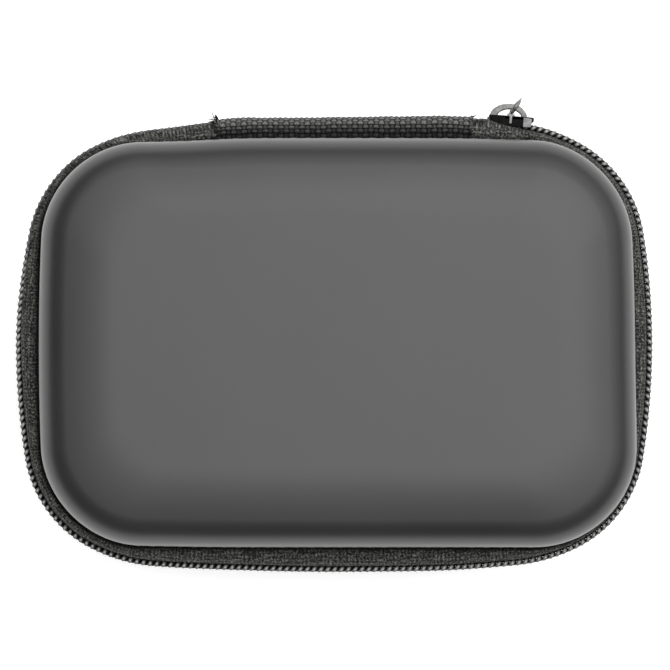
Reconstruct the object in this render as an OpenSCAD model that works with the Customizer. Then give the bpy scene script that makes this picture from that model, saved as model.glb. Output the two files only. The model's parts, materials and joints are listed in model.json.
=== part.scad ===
// Zippered hard-shell carrying case: two moulded halves, a coil zip round three sides,
// a woven hinge at the back, and a slider with a swinging pull.
// Frame: origin at the centre of the base's flat bottom, +X along the long side,
// +Y towards the hinge, +Z up. Millimetres.

/* [Case] */
// Length of each moulded shell
shell_l = 130; // [120:1:150]
// Width of each moulded shell, front to back
shell_w = 89.5; // [84:0.5:96]
// Height of the closed case
case_h = 45; // [42:1:60]
// Corner radius of the shells, seen from above
corner_r = 22; // [20:0.5:26]
// Radius of the rounded edge between a shell's face and its wall
edge_r = 13; // [10:0.5:14]
// Height of the zipped band between the two shells' rims
rim_gap = 14; // [13:0.5:16]

/* [Layers] */
// Thickness of the coated skin
skin_t = 0.6; // [0.4:0.1:0.8]
// Thickness of the moulded foam
foam_t = 3; // [2:0.1:4]
// Thickness of the knitted lining
lining_t = 0.4; // [0.3:0.1:0.6]

/* [Zip band] */
// Overall length of the zip band, coil to coil
band_l = 139.6; // [134:0.2:150]
// Overall width of the zip band, coil to coil
band_w = 100; // [95:0.5:108]
// Bow radius of the band's short sides
side_r = 160; // [140:5:200]
// Corner radius of the zip band
band_r = 26.5; // [26:0.1:27]
// Thickness of the coil, outwards from the tape
coil_t = 1.5; // [1.2:0.1:1.8]
// Height of one half of the coil, from the seam
coil_h = 3; // [2.6:0.1:3.2]
// Thickness of the zip tape
tape_t = 0.6; // [0.4:0.1:0.8]

/* [Hinge] */
// Left end of the hinge webbing
web_x0 = -25.5; // [-34:0.5:-15]
// Right end of the hinge webbing
web_x1 = 33.4; // [20:0.2:33.4]
// Thickness of the hinge webbing
web_t = 1.1; // [0.8:0.1:1.1]
// Right end of the stretch of lid zip that gives way beside the parked slider
flex_x1 = 47; // [46:0.5:50]

/* [Slider and pull] */
// Length of the slider
slider_l = 10; // [9:0.5:11]
// Height of the slider's outer plate
slider_h = 8.2; // [7.6:0.2:8.4]
// Place of the parked slider along X
slider_x = 38.7; // [38.5:0.1:38.9]
// Width of the pull's tab
pull_w = 4.6; // [4.2:0.1:6]
// Thickness of the pull
pull_t = 0.9; // [0.7:0.1:0.9]
// Length of the pull below its pivot
pull_l = 18.5; // [14:0.5:19]

/* [Inside] */
// Width of the elastic strap
strap_w = 25; // [15:1:35]
// Front edge of the mesh pocket
pocket_y0 = -24; // [-28:1:-10]

/* [Hidden] */

seam_z = case_h / 2;
rim_z = seam_z - rim_gap / 2;
wall_t = skin_t + foam_t + lining_t;
over = 1;

// A quarter of the band's outline is four arcs that meet smoothly: short side, corner, ease, long side.
// Each ends where its outward direction has turned this far from +X.
side_end = 9;
corner_end = 63;
ease_end = 85.5;
half_l = band_l / 2;
half_w = band_w / 2;
side_c = [half_l - side_r, 0];
corner_c = side_c + (side_r - band_r) * [cos(side_end), sin(side_end)];
corner_tip = corner_c + band_r * [cos(corner_end), sin(corner_end)];
// The ease and the long side share what is left, so that the long side ends square at its middle.
ease_x = cos(corner_end) - cos(ease_end);
ease_y = sin(ease_end) - sin(corner_end);
long_x = cos(ease_end);
long_y = 1 - sin(ease_end);
rise = half_w - corner_tip.y;
ease_r = (rise * long_x - corner_tip.x * long_y) / (ease_y * long_x - ease_x * long_y);
long_r = (corner_tip.x - ease_r * ease_x) / long_x;
ease_c = corner_tip - ease_r * [cos(corner_end), sin(corner_end)];
long_c = [0, half_w - long_r];
shell_cx = shell_l / 2 - corner_r;
shell_cy = shell_w / 2 - corner_r;

// A station is [nearest point on the shell's outline, point on the band's outline].
function foot(b) =
    b.y <= shell_cy ? [shell_l / 2, b.y] :
    b.x <= shell_cx ? [b.x, shell_w / 2] :
    let (c = [shell_cx, shell_cy]) c + corner_r * (b - c) / norm(b - c);
function station(b) = [foot(b), b];
function arc(c, r, a) = station(c + r * [cos(a), sin(a)]);
function arc_run(c, r, a0, a1, n) = [for (i = [0:n]) arc(c, r, a0 + (a1 - a0) * i / n)];
function long_angle(x) = acos(x / long_r);
function quarter(x0, long_steps = 2) = concat(
    arc_run(long_c, long_r, long_angle(x0), ease_end, long_steps),
    tail(arc_run(ease_c, ease_r, ease_end, corner_end, 4)),
    tail(arc_run(corner_c, band_r, corner_end, side_end, 7)),
    tail(arc_run(side_c, side_r, side_end, 0, 3)));
function flip(list, sx, sy) = [for (s = list) [for (p = s) [p.x * sx, p.y * sy]]];
function backwards(list) = [for (i = [len(list) - 1:-1:0]) list[i]];
function tail(list) = [for (i = [1:len(list) - 1]) list[i]];

tape_gap = 0.15;
// The zip's run: from one end beside the webbing, round the front, to the other end.
function zip_run(last_quarter) = concat(
    last_quarter,
    tail(backwards(flip(quarter(0, 4), 1, -1))),
    tail(flip(quarter(0, 4), -1, -1)),
    tail(backwards(flip(quarter(-web_x0 + tape_gap), -1, 1))));
// The stretch of the lid's zip beside the parked slider gives way, so it is apart from the rest.
flex_angle = acos((flex_x1 - ease_c.x) / ease_r);
flex_gap = 0.1;
flex_run = concat(
    arc_run(long_c, long_r, long_angle(web_x1 + tape_gap), ease_end, 2),
    tail(arc_run(ease_c, ease_r, ease_end, flex_angle, 3)));
lid_run = zip_run(concat(
    arc_run(ease_c, ease_r, flex_angle - flex_gap, corner_end, 3),
    tail(arc_run(corner_c, band_r, corner_end, side_end, 7)),
    tail(arc_run(side_c, side_r, side_end, 0, 3))));
base_run = zip_run(quarter(web_x1 + tape_gap));
web_run = [for (i = [0:10]) let (x = web_x1 + (web_x0 - web_x1) * i / 10)
    arc(long_c, long_r, long_angle(x))];

// A section point is [reference, distance outwards, height from the seam]:
// reference 0 measures from the shell's outline and 1 from the band's outline.
function place(s, q) =
    let (d = (s[1] - s[0]) / norm(s[1] - s[0]), p = s[q[0]] + d * q[1])
    [p.x, p.y, q[2]];

module sweep(stations, section) {
    n = len(stations);
    m = len(section);
    points = [for (s = stations) for (q = section) place(s, q)];
    walls = [for (i = [0:n - 2]) for (j = [0:m - 1]) let (k = (j + 1) % m)
        each [[i * m + j, i * m + k, (i + 1) * m + k], [i * m + j, (i + 1) * m + k, (i + 1) * m + j]]];
    first = [for (j = [m - 1:-1:0]) j];
    last = [for (j = [0:m - 1]) (n - 1) * m + j];
    polyhedron(points, concat([first, last], walls), convexity = 8);
}

tape_in = wall_t + 0.1;
tape_top = rim_gap / 2 + 2.4;
shelf = rim_gap / 2 - 0.5;
tape_foot = coil_h + 1.3;
tape_section = [
    [1, -coil_t, 0.3], [1, -coil_t - tape_t, 0.3], [1, -coil_t - tape_t, tape_foot - 0.3],
    [1, -coil_t - tape_t - 0.3, tape_foot], [0, 0.2, shelf - 1],
    [0, -tape_in - tape_t, shelf - 0.6], [0, -tape_in - tape_t, tape_top],
    [0, -tape_in, tape_top], [0, -tape_in, shelf], [0, 0.5, shelf - 0.2],
    [1, -coil_t - 0.5, tape_foot + 0.5], [1, -coil_t, tape_foot]];
seam_slit = 0.35;
coil_section = [[1, 0, seam_slit + 0.5], [1, -0.4, seam_slit], [1, -coil_t, seam_slit],
    [1, -coil_t, coil_h], [1, -0.4, coil_h], [1, 0, coil_h - 0.5]];
web_half = [[1, 0, 1.5], [1, -1.2, 4.6], [0, 0.9, shelf - 0.1], [0, -tape_in + 0.05, shelf],
    [0, -tape_in + 0.05, tape_top]];
web_back = [[0, -tape_in + 0.05 - web_t, tape_top], [0, -tape_in + 0.05 - web_t, shelf - 1.1],
    [0, 0.6, shelf - 1.3], [1, -2.2, 4.1], [1, -web_t, 1.2]];
web_section = concat(web_half, web_back,
    [for (q = backwards(web_back)) [q[0], q[1], -q[2]]],
    [for (q = backwards(web_half)) [q[0], q[1], -q[2]]]);

// A round-cornered block whose rounded lower edge is stepped in straight facets.
function edge_profile(r, h, f) = concat(
    [[0, h], [0, 0]], [for (i = [0:8]) [r - f + f * sin(i * 90 / 8), f - f * cos(i * 90 / 8)]], [[r, h]]);

module block(l, w, r, profile, h) {
    for (sx = [0, 1]) mirror([sx, 0, 0]) for (sy = [0, 1]) mirror([0, sy, 0])
        translate([l / 2 - r, w / 2 - r, 0]) rotate_extrude(angle = 90, $fn = 64) polygon(profile);
    for (sx = [0, 1]) mirror([sx, 0, 0]) translate([l / 2 - r, w / 2 - r, 0])
        rotate([90, 0, 0]) linear_extrude(w - 2 * r) polygon(profile);
    for (sy = [0, 1]) mirror([0, sy, 0]) translate([-l / 2 + r, w / 2 - r, 0])
        rotate([90, 0, 90]) linear_extrude(l - 2 * r) polygon(profile);
    translate([-l / 2 + r, -w / 2 + r, 0]) cube([l - 2 * r, w - 2 * r, h]);
}

// The space inside a half shell, at a distance in from its outer face.
module cavity(inset, top) {
    h = top - inset;
    r = corner_r - inset;
    translate([0, 0, inset]) block(shell_l - 2 * inset, shell_w - 2 * inset, r,
        edge_profile(r, h, edge_r - inset), h);
}

// A straight-walled ring between two distances in from the shell's outer face.
module ring(outer, inner, z0, z1) {
    h = z1 - z0;
    difference() {
        translate([0, 0, z0]) plain_block(outer, h);
        translate([0, 0, z0 - over]) plain_block(inner, h + 2 * over);
    }
}

module plain_block(inset, h) {
    r = corner_r - inset;
    block(shell_l - 2 * inset, shell_w - 2 * inset, r, [[0, h], [0, 0], [r, 0], [r, h]], h);
}

// The upper half is the lower half turned over about the seam.
module upper() {
    translate([0, 0, case_h]) mirror([0, 0, 1]) children();
}

module shell_skin() {
    difference() {
        cavity(0, rim_z);
        cavity(skin_t, rim_z - skin_t);
        translate([0, 0, rim_z - skin_t - over]) plain_block(skin_t + foam_t, skin_t + 2 * over);
    }
}

module shell_foam() {
    difference() {
        cavity(skin_t, rim_z - skin_t);
        cavity(skin_t + foam_t, rim_z);
    }
}

module shell_lining() {
    difference() {
        cavity(skin_t + foam_t, rim_z);
        cavity(wall_t, rim_z + over);
    }
}

bind_in = tape_in + web_t + 0.1;
bind_t = 0.6;
bind_z0 = seam_z - tape_top - 0.8;
bind_z1 = seam_z - shelf + 0.2;
thread_d = 0.4;
seam_row = rim_z - 2.2;

module tape_binding() {
    ring(bind_in, bind_in + bind_t, bind_z0, bind_z1);
}

module seam_thread() {
    ring(bind_in + bind_t, bind_in + bind_t + thread_d, seam_row - thread_d / 2, seam_row + thread_d / 2);
    ring(-thread_d, 0, seam_row - thread_d / 2, seam_row + thread_d / 2);
}

module base_skin() {
    color("#3a3a3c") shell_skin();
}

module base_foam() {
    color("#2a2a2c") shell_foam();
}

module base_lining() {
    color("#1d1d20") shell_lining();
}

module base_zip_tape() {
    color("#3c3c3a") translate([0, 0, seam_z]) mirror([0, 0, 1])
        sweep(base_run, tape_section);
}

module base_zip_coil() {
    color("#18181a") translate([0, 0, seam_z]) mirror([0, 0, 1])
        sweep(base_run, coil_section);
}

module base_tape_binding() {
    color("#202022") tape_binding();
}

module base_seam_thread() {
    color("#48484a") seam_thread();
}

strap_t = 1.2;
strap_z = seam_z - 5;
strap_gap = 0.05;
strap_end = shell_w / 2 - bind_in - bind_t - thread_d - strap_gap;
anchor_drop = 6;

module elastic_strap() {
    color("#222226") translate([-strap_w / 2, 0, 0]) {
        translate([0, -strap_end, strap_z - strap_t]) cube([strap_w, 2 * strap_end, strap_t]);
        for (s = [0, 1]) mirror([0, s, 0])
            translate([0, strap_end - strap_t, strap_z - strap_t - anchor_drop])
                cube([strap_w, strap_t, anchor_drop + strap_t]);
    }
}

module strap_anchors() {
    color("#48484a") for (s = [0, 1]) mirror([0, s, 0])
        for (x = [-strap_w / 2 + 1.5, strap_w / 2 - 1.5])
            translate([x - 1, strap_end - strap_t - thread_d, strap_z - strap_t - anchor_drop + 0.3])
                cube([2, thread_d, anchor_drop - 0.6]);
}

module hinge_webbing() {
    color("#2f2f30") translate([0, 0, seam_z])
        sweep(web_run, web_section);
}

module lid_skin() {
    color("#3a3a3c") upper() shell_skin();
}

module lid_foam() {
    color("#2a2a2c") upper() shell_foam();
}

module lid_lining() {
    color("#1d1d20") upper() shell_lining();
}

module lid_zip_tape() {
    color("#3c3c3a") translate([0, 0, seam_z]) sweep(lid_run, tape_section);
}

module lid_zip_coil() {
    color("#18181a") translate([0, 0, seam_z]) sweep(lid_run, coil_section);
}

module lid_zip_tape_end() {
    color("#3c3c3a") translate([0, 0, seam_z]) sweep(flex_run, tape_section);
}

module lid_zip_coil_end() {
    color("#18181a") translate([0, 0, seam_z]) sweep(flex_run, coil_section);
}

module lid_tape_binding() {
    color("#202022") upper() tape_binding();
}

module lid_seam_thread() {
    color("#48484a") upper() seam_thread();
}

mesh_t = 0.6;
pocket_gap = 0.7;
mesh_z = case_h - bind_z0 + pocket_gap;
mesh_inset = wall_t + 0.6;
hem_w = 8;
hem_t = 1.6;

// The pocket is held all round behind the binding, except along its free front edge.
module mesh_pocket() {
    color("#141416") upper() intersection() {
        cavity(mesh_inset, rim_z);
        translate([-shell_l / 2, pocket_y0 + hem_w / 2, case_h - mesh_z - mesh_t])
            cube([shell_l, shell_w, mesh_t]);
    }
}

module mesh_pocket_binding() {
    color("#242428") upper() intersection() {
        cavity(mesh_inset, rim_z);
        translate([0, pocket_y0 - 0.05, case_h - mesh_z - mesh_t / 2])
            cube([shell_l, hem_w, hem_t], center = true);
    }
}

// Slider: local +X along the zip to the right, +Y outwards, origin on the band's outline.
slider_angle = long_angle(slider_x);
plate_t = 0.9;
outer_y = 0.35;
inner_y = -2.9;
inner_h = 7.2;
flange_y = -1.05;
flange_t = 0.55;
post_x = -slider_l / 2 + 1;
post_l = 2.4;
post_t = 0.5;

module on_zip() {
    translate([long_c.x, long_c.y, seam_z]) rotate([0, 0, slider_angle - 90])
        translate([0, long_r, 0]) children();
}

module slider_body() {
    color("#a8a8aa") on_zip() {
        translate([-slider_l / 2, outer_y, -slider_h / 2]) cube([slider_l, plate_t, slider_h]);
        translate([-slider_l / 2, inner_y - plate_t, -inner_h / 2]) cube([slider_l, plate_t, inner_h]);
        for (s = [0, 1]) mirror([0, 0, s])
            translate([-slider_l / 2, flange_y, slider_h / 2 - flange_t])
                cube([slider_l, outer_y + plate_t - flange_y, flange_t]);
        translate([post_x, inner_y - plate_t / 2, -post_t / 2])
            cube([post_l, outer_y - inner_y + plate_t, post_t]);
    }
}

bridge_w = 1.6;
seat_y = outer_y + plate_t;
// Outline of the arch, seen along the zip band's edge, from its left foot to its right foot.
arch = [[-4.4, 0], [-3.2, 1.9], [-1.2, 2.85], [0.4, 2.85], [3.6, 1.0], [3.6, 0]];
arch_hole = [[-2.9, 0], [-2.3, 1.1], [-0.9, 1.85], [0.1, 1.926], [2.5, 0.54], [2.5, 0]];

module slider_bridge() {
    color("#b4b4b6") on_zip() translate([0, seat_y, -bridge_w / 2]) linear_extrude(bridge_w)
        difference() {
            polygon(arch);
            polygon(arch_hole);
        }
}

pin_x = -0.4;
pin_d = 1.1;

module slider_lock_pin() {
    color("#c8c8ca") on_zip() translate([pin_x, seat_y, 0]) rotate([-90, 0, 0])
        cylinder(d = pin_d, h = 0.35, $fn = 32);
}

// The pull turns about the middle of the arch's sloping bar, across it.
pivot_x = 1.55;
pivot_y = seat_y + 1.637;
pivot_a = -30;
eye_r = 1.45;
eye_hole = 1.02;
neck_w = 2.3;
neck_from = 0.8;
tab_from = 4.9;
tip_x = pull_l - pull_w / 2;
tip_step = 0.1;
tip_hole_d = 2.4;

module pull_tab() {
    color("#9c9ca0") on_zip() translate([pivot_x, pivot_y, 0]) rotate([0, 0, pivot_a]) rotate([0, 90, 0])
        translate([0, 0, -pull_t / 2]) difference() {
            union() {
                cylinder(r = eye_r, h = pull_t, $fn = 48);
                translate([neck_from, -neck_w / 2, 0]) cube([tab_from, neck_w, pull_t]);
                translate([tab_from, -pull_w / 2, 0]) cube([tip_x - tab_from, pull_w, pull_t]);
                translate([tip_x - tip_step, 0, 0])
                    cylinder(d = pull_w - 2 * tip_step, h = pull_t, $fn = 48);
            }
            translate([0, 0, -over]) cylinder(r = eye_hole, h = pull_t + 2 * over, $fn = 48);
            translate([tip_x, 0, -over]) cylinder(d = tip_hole_d, h = pull_t + 2 * over, $fn = 32);
        }
}

base_skin();
base_foam();
base_lining();
base_zip_tape();
base_zip_coil();
base_tape_binding();
base_seam_thread();
elastic_strap();
strap_anchors();
hinge_webbing();
lid_skin();
lid_foam();
lid_lining();
lid_zip_tape();
lid_zip_tape_end();
lid_zip_coil();
lid_zip_coil_end();
lid_tape_binding();
lid_seam_thread();
mesh_pocket();
mesh_pocket_binding();
slider_body();
slider_bridge();
slider_lock_pin();
pull_tab();
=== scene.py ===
"""Looks of a small zippered hard-shell carrying case: coated shells, a coil zip with real turns,
woven hinge webbing, a slider with its pull, and the lining, strap and mesh pocket inside.

Lengths in the script are millimetres in the CAD part's frame; mesh_object() turns them into metres."""

import json
import math

import bmesh
import bpy
import numpy as np
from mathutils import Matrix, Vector


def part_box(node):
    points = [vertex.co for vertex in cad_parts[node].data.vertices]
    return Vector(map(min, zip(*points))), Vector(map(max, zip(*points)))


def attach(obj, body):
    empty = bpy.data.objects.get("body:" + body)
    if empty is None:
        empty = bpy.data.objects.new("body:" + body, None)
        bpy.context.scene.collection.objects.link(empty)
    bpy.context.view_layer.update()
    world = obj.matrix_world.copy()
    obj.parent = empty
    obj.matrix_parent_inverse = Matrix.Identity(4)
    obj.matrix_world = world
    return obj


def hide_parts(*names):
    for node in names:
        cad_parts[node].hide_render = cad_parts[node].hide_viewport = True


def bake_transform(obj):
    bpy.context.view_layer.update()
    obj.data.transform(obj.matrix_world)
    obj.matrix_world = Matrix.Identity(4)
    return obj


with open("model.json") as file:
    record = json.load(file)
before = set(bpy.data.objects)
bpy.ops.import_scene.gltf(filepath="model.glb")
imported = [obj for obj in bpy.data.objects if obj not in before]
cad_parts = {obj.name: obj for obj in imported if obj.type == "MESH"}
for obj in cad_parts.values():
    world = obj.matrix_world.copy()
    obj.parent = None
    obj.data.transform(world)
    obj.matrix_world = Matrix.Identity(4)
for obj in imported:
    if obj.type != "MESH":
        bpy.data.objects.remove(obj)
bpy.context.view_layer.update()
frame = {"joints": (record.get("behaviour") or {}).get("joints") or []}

MM = 0.001
UP = np.array([0, 0, 1.0])
rng = np.random.default_rng(7)


# -------- sizes read from the frame

def box_mm(node):
    low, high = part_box(node)
    return np.array(low) / MM, np.array(high) / MM


skin_low, skin_high = box_mm("lid_skin")
SHELL = (skin_high - skin_low)[:2]
CASE_H = skin_high[2]
SEAM = CASE_H / 2
RIM = skin_low[2] - SEAM
web_low, web_high = box_mm("hinge_webbing")
WEB_X0, WEB_X1 = web_low[0], web_high[0]
HALF_L = box_mm("lid_zip_coil")[1][0]
HALF_W = web_high[1]
CORNER_R = 22.0  # the shells' corners in plan
EDGE_R = 8.5  # the shells' edge between wall and top
EDGE_SWEEP = math.radians(77.6)  # how far that edge turns before the crown takes over
CROWN = 1.15  # how much the top rises from that edge to the middle
CROWN_REACH = 10.5  # how far in from the edge it rises
WALL = 4.0
SKIN_T = 0.6
LIP = 3.6  # how far the skin turns in over the foam at the rim
LINING_T = 0.4
LID_SHIFT = np.array([0.6, 0.35])  # the lid sits a little off the base
SLIM = 0.5  # the shells are drawn this much inside the CAD outline
SIDE_R = 160.0  # the zip band's bowed short sides
BAND_R = 26.5  # its corners
SIDE_END, CORNER_END, EASE_END = (math.radians(a) for a in (9, 63, 85.5))
# Where the shells and the band are drawn further in: direction and width in degrees, depth in mm.
SHELL_PULLS = [(33, 17, 1.2), (147, 17, 1.1), (213, 17, 0.9), (130, 11, 0.75), (340, 13, -0.35)]
BAND_PULLS = [(36, 12, 0.3), (60, 16, -0.45), (230, 12, -0.3), (298, 12, -0.25)]
HALF_DIAGONAL = 68.0  # from the middle to a corner
COIL_PITCH = 1.5
COIL_W = 1.5
COIL_MIDDLE = -0.76  # the coil's centre line, outwards from the band's outline
COIL_MIDDLE_H = 1.2  # the middle of each half's turns, away from the seam
COIL_HALF_H = 1.5
COIL_HALF_W = 0.36
WIRE_R = 0.38
TAPE_FRONT, TAPE_BACK = 0.24, 0.2  # the tape's faces on both sides of its middle
WEB_END = WEB_X1 - 2.9  # where the webbing is cut beside the slider
WEB_STEP = 0.16  # between the webbing's points
TAPE_STEP = 0.3  # between the tape's points
SLIDER_X = 38.7
BINDING_INSET = 5.35
STITCH_PITCH = 3.2
STITCH_LENGTH = 2.7


# -------- outlines

def unit(a):
    return np.stack([np.cos(a), np.sin(a)], -1)


def band_arcs():
    """The four arcs of a quarter of the zip band's outline: centre, radius, first and last direction."""
    side_c = np.array([HALF_L - SIDE_R, 0])
    corner_c = side_c + (SIDE_R - BAND_R) * unit(SIDE_END)
    tip = corner_c + BAND_R * unit(CORNER_END)
    near = (unit(EASE_END) - unit(CORNER_END)) * (-1, 1)
    far = np.array([math.cos(EASE_END), 1 - math.sin(EASE_END)])
    rise = HALF_W - tip[1]
    ease_r = (rise * far[0] - tip[0] * far[1]) / (near[1] * far[0] - near[0] * far[1])
    long_r = (tip[0] - ease_r * near[0]) / far[0]
    return [
        (side_c, SIDE_R, 0, SIDE_END),
        (corner_c, BAND_R, SIDE_END, CORNER_END),
        (tip - ease_r * unit(CORNER_END), ease_r, CORNER_END, EASE_END),
        (np.array([0, HALF_W - long_r]), long_r, EASE_END, math.pi / 2),
    ]


def ease(t):
    """0 to 1, smoothly, as t goes from 0 to 1."""
    t = np.clip(t, 0, 1)
    return t * t * (3 - 2 * t)


def polar_share(p, centre, width):
    """1 where p lies in direction centre (degrees) seen from the middle, falling to 0 over width degrees."""
    turn = np.degrees(np.arctan2(p[..., 1], p[..., 0])) - centre
    turn = np.mod(turn + 180, 360) - 180
    return np.exp(-((turn / width) ** 2))


def pulled(p, pulls):
    """How far each point is drawn in, in mm: the sum of bumps given as direction, width and depth."""
    return sum(depth * polar_share(p, centre, width) for centre, width, depth in pulls)


def settle_shell(p):
    """The moulded shells are inside the CAD outline, and rounder at three corners than at the right front."""
    pull = 0.2 + pulled(p, SHELL_PULLS)
    return p * (1 - 2 * SLIM / SHELL - (pull / HALF_DIAGONAL)[..., None])


def settle_band(p, n):
    """The soft zip sits closer in at the back left corner, beyond the webbing's end."""
    angle = np.degrees(np.arctan2(p[:, 1], p[:, 0]))
    near = np.clip((angle - 109) / 24, 0, 1) * np.clip((181 - angle) / 34, 0, 1)
    pull = -0.05 + 1.4 * ease(near) + pulled(p, BAND_PULLS)
    return p - n * pull[:, None]


class Outline:
    """A closed outline that starts at the middle of the back and runs clockwise seen from above."""

    def __init__(self, quarter_points, quarter_normals, settle=None):
        q, n = quarter_points, quarter_normals
        back = q[::-1], n[::-1]
        flips = [(*back, (1, 1)), (q, n, (1, -1)), (*back, (-1, -1)), (q, n, (-1, 1))]
        self.p = np.concatenate([a[:-1] * f for a, _, f in flips] + [q[-1:]])
        self.n = np.concatenate([b[:-1] * f for _, b, f in flips] + [n[-1:]])
        if settle:
            self.p = settle(self.p, self.n)
        steps = np.linalg.norm(np.diff(self.p, axis=0), axis=1)
        self.s = np.concatenate([[0], np.cumsum(steps)])
        self.length = self.s[-1]

    def at(self, s):
        s = np.mod(s, self.length)
        p = np.stack([np.interp(s, self.s, self.p[:, k]) for k in (0, 1)], -1)
        n = np.stack([np.interp(s, self.s, self.n[:, k]) for k in (0, 1)], -1)
        return p, n / np.linalg.norm(n, axis=-1, keepdims=True)


def band_outline():
    points, normals = [], []
    for centre, radius, a0, a1 in band_arcs():
        a = np.linspace(a0, a1, max(12, int(radius * (a1 - a0) / 0.2)))[:-1]
        points.append(centre + radius * unit(a))
        normals.append(unit(a))
    points.append(np.array([[0, HALF_W]]))
    normals.append(np.array([[0, 1.0]]))
    return Outline(np.concatenate(points), np.concatenate(normals), settle_band)


def shell_quarter(inset, r, steps=40):
    """Quarter of a rounded rectangle from the right middle to the back middle, its sides bowed a little."""
    half = SHELL / 2 - inset
    r = max(r, 0.05)
    c = half - r
    a = np.linspace(0, math.pi / 2, steps)
    side = np.stack([np.full(steps, half[0]), np.linspace(0, c[1], steps)], -1)[:-1]
    back = np.stack([np.linspace(c[0], 0, steps), np.full(steps, half[1])], -1)[1:]
    p = np.concatenate([side, c + r * unit(a), back])
    n = np.concatenate([np.tile([1.0, 0], (steps - 1, 1)), unit(a), np.tile([0, 1.0], (steps - 1, 1))])
    return p, n


BAND = band_outline()


def foot(p):
    """Nearest point of the shells' outline to each point outside it."""
    half = SHELL / 2
    c = half - CORNER_R
    a = np.abs(p)
    d = np.maximum(a - c, 0)
    length = np.linalg.norm(d, axis=-1, keepdims=True)
    corner = c + CORNER_R * d / np.maximum(length, 1e-9)
    at_corner = (a[:, 0] > c[0]) & (a[:, 1] > c[1])
    on_side = np.stack([np.full(len(a), half[0]), a[:, 1]], -1)
    on_back = np.stack([a[:, 0], np.full(len(a), half[1])], -1)
    straight = np.where((a[:, 1] <= c[1])[:, None], on_side, on_back)
    return settle_shell(np.where(at_corner[:, None], corner, straight) * np.where(p < 0, -1, 1))


def s_at_x(x):
    """Distance along the band of the point on its back side with this x."""
    back = BAND.p[:, 1] > 20
    k = np.argmin(np.abs(BAND.p[:, 0] - x) + np.where(back, 0, 1e3))
    return BAND.s[k]


# -------- mesh helpers

def linked(name, data):
    """A new object in the scene."""
    obj = bpy.data.objects.new(name, data)
    bpy.context.scene.collection.objects.link(obj)
    return obj


def mesh_object(name, verts, faces, uv=None):
    """verts in mm; uv is one (u, v) in mm for each vertex."""
    mesh = bpy.data.meshes.new(name)
    mesh.from_pydata((np.asarray(verts, float) * MM).tolist(), [], [list(f) for f in faces])
    if uv is not None:
        layer = mesh.uv_layers.new(name="UVMap")
        loops = np.zeros(len(mesh.loops), np.int32)
        mesh.loops.foreach_get("vertex_index", loops)
        layer.data.foreach_set("uv", np.asarray(uv, np.float32)[loops].ravel())
    mesh.polygons.foreach_set("use_smooth", [True] * len(mesh.polygons))
    mesh.update()
    return linked(name, mesh)


def grid_faces(rows, cols, close_rows=False, close_cols=False, flip=False):
    i = np.arange(rows if close_rows else rows - 1)[:, None]
    j = np.arange(cols if close_cols else cols - 1)[None, :]
    i2, j2 = (i + 1) % rows, (j + 1) % cols
    quad = np.stack([i * cols + j, i * cols + j2, i2 * cols + j2, i2 * cols + j], -1).reshape(-1, 4)
    return quad[:, ::-1] if flip else quad


def add_painted_light(obj, values):
    """One number from 0 to 1 for each vertex, which the material reads as painted light and shade: painted
    highlights on the coil's crests, painted shade in the tape's groove and in the webbing's gaps.
    """
    painted_light = obj.data.attributes.new("painted_light", "FLOAT", "POINT")
    painted_light.data.foreach_set("value", np.asarray(values, np.float32))


def pairs(a, b):
    """(a, b) for every a with every b, row by row."""
    return np.stack(np.broadcast_arrays(a[:, None], b[None, :]), -1).reshape(-1, 2)


class Bag:
    """Gathers many small meshes into one."""

    def __init__(self):
        self.v, self.f, self.uv, self.n = [], [], [], 0

    def add(self, verts, faces, uv):
        self.v.append(verts)
        self.f += [[int(k) + self.n for k in face] for face in faces]
        self.uv.append(uv)
        self.n += len(verts)

    def object(self, name):
        return mesh_object(name, np.concatenate(self.v), self.f, np.concatenate(self.uv))


def tube(path, radius, sides=6):
    """Verts, faces and uv of a capped tube along path; radius is one number or one for each point."""
    path = np.asarray(path, float)
    n = len(path)
    ahead = np.roll(path, -1, 0) - np.roll(path, 1, 0)
    ahead[0], ahead[-1] = path[1] - path[0], path[-1] - path[-2]
    ahead /= np.linalg.norm(ahead, axis=1, keepdims=True)
    side = np.cross(ahead, UP)
    weak = np.linalg.norm(side, axis=1) < 1e-3
    side[weak] = np.cross(ahead[weak], (1, 0.3, 0))
    side /= np.linalg.norm(side, axis=1, keepdims=True)
    top = np.cross(side, ahead)
    a = np.arange(sides) * 2 * math.pi / sides
    r = np.broadcast_to(radius, (n,))[:, None, None]
    spoke = side[:, None] * np.cos(a)[None, :, None] + top[:, None] * np.sin(a)[None, :, None]
    verts = path[:, None] + r * spoke
    faces = [list(f) for f in grid_faces(n, sides, False, True)]
    faces += [list(range(sides))[::-1], [(n - 1) * sides + k for k in range(sides)]]
    along = np.concatenate([[0], np.cumsum(np.linalg.norm(np.diff(path, axis=0), axis=1))])
    return verts.reshape(-1, 3), faces, pairs(along, a * np.mean(radius))


def spline(points, per_span=6):
    """Catmull-Rom through points of any dimension."""
    p = np.asarray(points, float)
    p = np.concatenate([2 * p[:1] - p[1:2], p, 2 * p[-1:] - p[-2:-1]])
    t = np.linspace(0, 1, per_span, endpoint=False)[:, None]
    out = []
    for a, b, c, d in zip(p, p[1:], p[2:], p[3:]):
        curve = 2 * b + (c - a) * t + (2 * a - 5 * b + 4 * c - d) * t**2
        out.append(0.5 * (curve + (3 * b - a - 3 * c + d) * t**3))
    return np.concatenate(out + [p[-2:-1]])


def wave(x):
    """A smooth noise of one variable, from -1 to 1."""
    return (np.sin(x) + 0.6 * np.sin(2.31 * x + 1.3) + 0.4 * np.sin(4.17 * x + 2.1)) / 2


# -------- materials

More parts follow.
